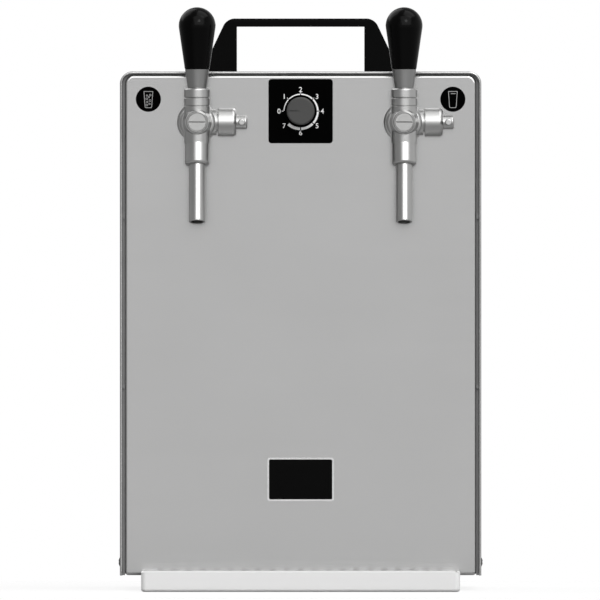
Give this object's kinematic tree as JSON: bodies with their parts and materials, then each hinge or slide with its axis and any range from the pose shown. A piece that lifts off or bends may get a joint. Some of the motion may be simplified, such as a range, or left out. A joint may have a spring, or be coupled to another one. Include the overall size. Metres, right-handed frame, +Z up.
{
  "type": "twin-tap drink cooler",
  "caption": "Portable counter-top drink cooler: steel casing with carry handle, lever taps with side flow regulators, thermostat dial and pull-out drip tray with grid.",
  "frame": {"origin": "on the table, under the middle of the whole part's box", "axes": "+Z up, -Y toward the user (taps, dial and tray), +X to the user's right"},
  "size_m": [0.297, 0.4544, 0.4738],
  "materials": {
    "casing_steel": "plain",
    "cover_steel": "brushed",
    "panel_steel": "brushed",
    "seal_grey": "matt",
    "black_screw": "black oxide",
    "zinc_screw": "zinc plated",
    "foot_rubber": "matt",
    "handle_plastic": "fine grain",
    "dial_black": "printed film",
    "switch_plastic": "plain",
    "knob_grey": "satin",
    "plate_black": "gloss",
    "plate_frame": "satin",
    "badge_black": "printed film",
    "tray_plastic": "satin",
    "grid_steel": "brushed",
    "tap_metal": "satin chrome",
    "ferrule_metal": "satin chrome",
    "brass_nut": "turned",
    "grip_black": "gloss",
    "foam_white": "foam",
    "block_aluminium": "cast",
    "line_steel": "drawn tube",
    "compressor_black": "satin paint",
    "fan_plastic": "plain",
    "copper_line": "drawn tube",
    "socket_black": "plain"
  },
  "bodies": {
    "casing": {"base_pan": "casing_steel", "cover_shell": "cover_steel", "front_panel": "panel_steel", "panel_seal": "seal_grey", "rear_panel": "casing_steel", "cover_screws": "black_screw", "rear_screws": "zinc_screw", "feet": "foot_rubber", "foot_screws": "zinc_screw", "carry_handle": "handle_plastic", "carry_handle_screws": "zinc_screw", "thermostat_plate": "dial_black", "thermostat_body": "switch_plastic", "name_plate": "plate_black", "name_plate_frame": "plate_frame", "left_badge": "badge_black", "right_badge": "badge_black", "left_tap_flange": "tap_metal", "left_tap_shank": "tap_metal", "left_tap_back_nut": "brass_nut", "left_tap_body": "tap_metal", "left_tap_bonnet": "tap_metal", "left_tap_cap": "tap_metal", "left_tap_spout": "tap_metal", "left_regulator_nut": "tap_metal", "right_tap_flange": "tap_metal", "right_tap_shank": "tap_metal", "right_tap_back_nut": "brass_nut", "right_tap_body": "tap_metal", "right_tap_bonnet": "tap_metal", "right_tap_cap": "tap_metal", "right_tap_spout": "tap_metal", "right_regulator_nut": "tap_metal", "cooler_shelf": "casing_steel", "insulation_box": "foam_white", "insulation_lid": "foam_white", "cooling_block": "block_aluminium", "beverage_lines": "line_steel", "compressor": "compressor_black", "compressor_mounts": "foot_rubber", "condenser": "block_aluminium", "fan_frame": "fan_plastic", "refrigerant_lines": "copper_line", "inlet_fittings": "line_steel", "inlet_nuts": "brass_nut", "power_inlet": "socket_black"},
    "left_lever": {"left_tap_lever": "ferrule_metal", "left_tap_grip": "grip_black"},
    "left_valve": {"left_tap_piston": "brass_nut", "left_tap_seal": "foot_rubber"},
    "left_regulator": {"left_regulator_spindle": "tap_metal"},
    "right_lever": {"right_tap_lever": "ferrule_metal", "right_tap_grip": "grip_black"},
    "right_valve": {"right_tap_piston": "brass_nut", "right_tap_seal": "foot_rubber"},
    "right_regulator": {"right_regulator_spindle": "tap_metal"},
    "thermostat": {"thermostat_knob": "knob_grey"},
    "tray": {"drip_tray": "tray_plastic"},
    "grid": {"drip_grid": "grid_steel"},
    "fan": {"fan_rotor": "fan_plastic"}
  },
  "joints": [
    {"name": "left_lever_pull", "type": "hinge", "parent": "casing", "child": "left_lever", "pos_m": [-0.084, -0.14775, 0.4063], "axis": [1, 0, 0], "range_deg": [0, 20]},
    {"name": "left_valve_slide", "type": "slide", "parent": "casing", "child": "left_valve", "axis": [0, 1, 0], "range_m": [0, 0.0073]},
    {"name": "left_regulator_turn", "type": "hinge", "parent": "casing", "child": "left_regulator", "pos_m": [-0.084, -0.12075, 0.3805], "axis": [1, 0, 0], "range_deg": [-90, 90]},
    {"name": "right_lever_pull", "type": "hinge", "parent": "casing", "child": "right_lever", "pos_m": [0.084, -0.14775, 0.4063], "axis": [1, 0, 0], "range_deg": [0, 20]},
    {"name": "right_valve_slide", "type": "slide", "parent": "casing", "child": "right_valve", "axis": [0, 1, 0], "range_m": [0, 0.0073]},
    {"name": "right_regulator_turn", "type": "hinge", "parent": "casing", "child": "right_regulator", "pos_m": [0.084, -0.12075, 0.3805], "axis": [1, 0, 0], "range_deg": [-90, 90]},
    {"name": "thermostat_turn", "type": "hinge", "parent": "casing", "child": "thermostat", "pos_m": [0, -0.10575, 0.3897], "axis": [0, 1, 0], "range_deg": [0, 315]},
    {"name": "tray_slide", "type": "slide", "parent": "casing", "child": "tray", "axis": [0, -1, 0], "range_m": [0, 0.06]},
    {"name": "grid_lift", "type": "slide", "parent": "tray", "child": "grid", "axis": [0, 0, 1], "range_m": [0, 0.03]},
    {"name": "fan_spin", "type": "hinge", "parent": "casing", "child": "fan", "pos_m": [0, 0.12475, 0.0983], "axis": [0, 1, 0], "continuous": true}
  ],
  "couplings": [
    {"joint": "left_valve_slide", "follows": "left_lever_pull", "m_per_rad": 0.0206},
    {"joint": "right_valve_slide", "follows": "right_lever_pull", "m_per_rad": 0.0206}
  ]
}
